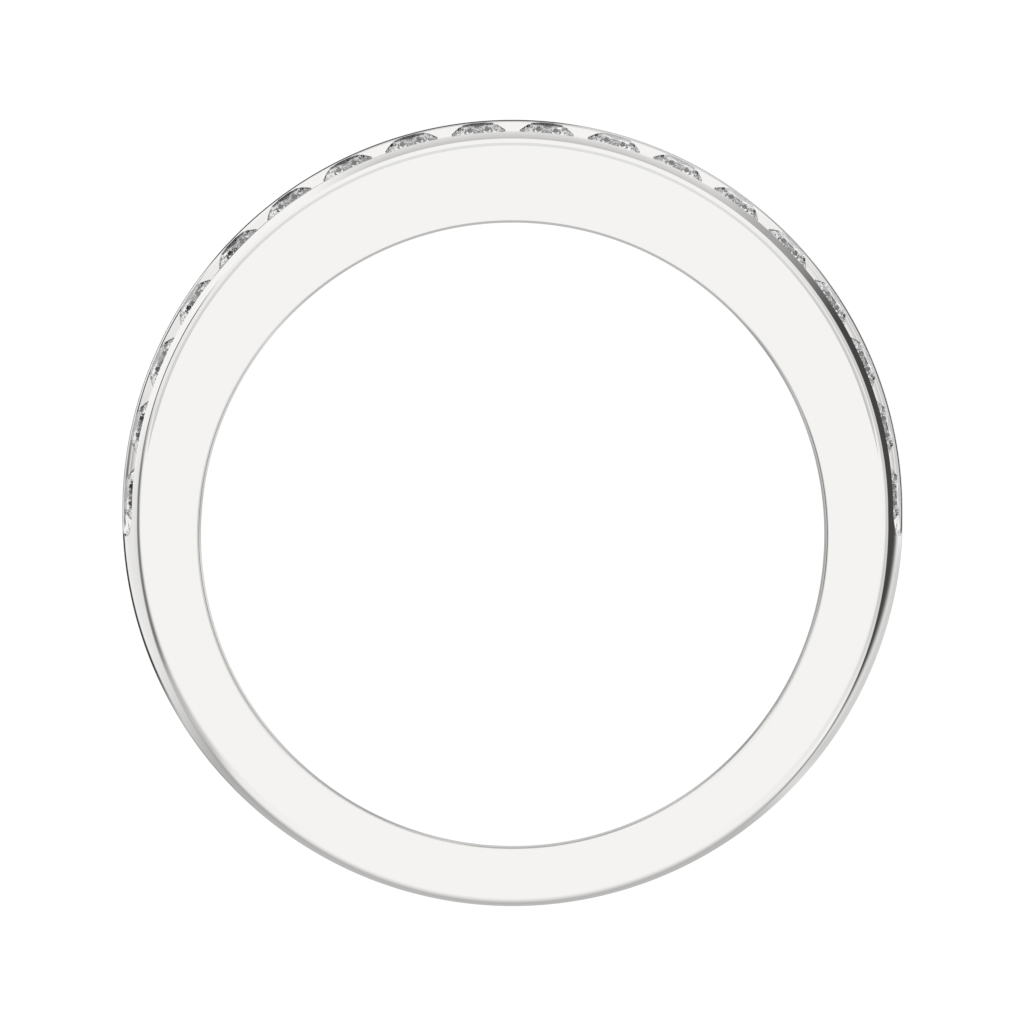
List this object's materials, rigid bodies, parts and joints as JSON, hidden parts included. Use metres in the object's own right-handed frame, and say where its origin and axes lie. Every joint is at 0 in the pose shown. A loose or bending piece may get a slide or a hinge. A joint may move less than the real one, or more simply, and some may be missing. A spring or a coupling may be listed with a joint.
{
  "type": "band ring",
  "caption": "Domed polished metal band ring, thicker over the finger than under it, with small round stones in channels along its upper half and a round finger hole.",
  "frame": {"origin": "middle of the ring's outline, on the side face that it lies on", "axes": "+Z along the finger hole, up from the side face it lies on; +Y towards the middle of the stone rows, where the band is thickest; +X across"},
  "size_m": [0.0216, 0.0218, 0.0042],
  "materials": {
    "white_gold": "polished white gold",
    "clear_stone": "cut and polished"
  },
  "bodies": {
    "root": {"band": "white_gold", "upper_stone_1": "clear_stone", "upper_stone_2": "clear_stone", "upper_stone_3": "clear_stone", "upper_stone_4": "clear_stone", "upper_stone_5": "clear_stone", "upper_stone_6": "clear_stone", "upper_stone_7": "clear_stone", "upper_stone_8": "clear_stone", "upper_stone_9": "clear_stone", "upper_stone_10": "clear_stone", "upper_stone_11": "clear_stone", "upper_stone_12": "clear_stone", "upper_stone_13": "clear_stone", "upper_stone_14": "clear_stone", "upper_stone_15": "clear_stone", "upper_stone_16": "clear_stone", "upper_stone_17": "clear_stone", "upper_stone_18": "clear_stone", "lower_stone_1": "clear_stone", "lower_stone_2": "clear_stone", "lower_stone_3": "clear_stone", "lower_stone_4": "clear_stone", "lower_stone_5": "clear_stone", "lower_stone_6": "clear_stone", "lower_stone_7": "clear_stone", "lower_stone_8": "clear_stone", "lower_stone_9": "clear_stone", "lower_stone_10": "clear_stone", "lower_stone_11": "clear_stone", "lower_stone_12": "clear_stone", "lower_stone_13": "clear_stone", "lower_stone_14": "clear_stone", "lower_stone_15": "clear_stone", "lower_stone_16": "clear_stone", "lower_stone_17": "clear_stone", "lower_stone_18": "clear_stone"}
  },
  "joints": []
}
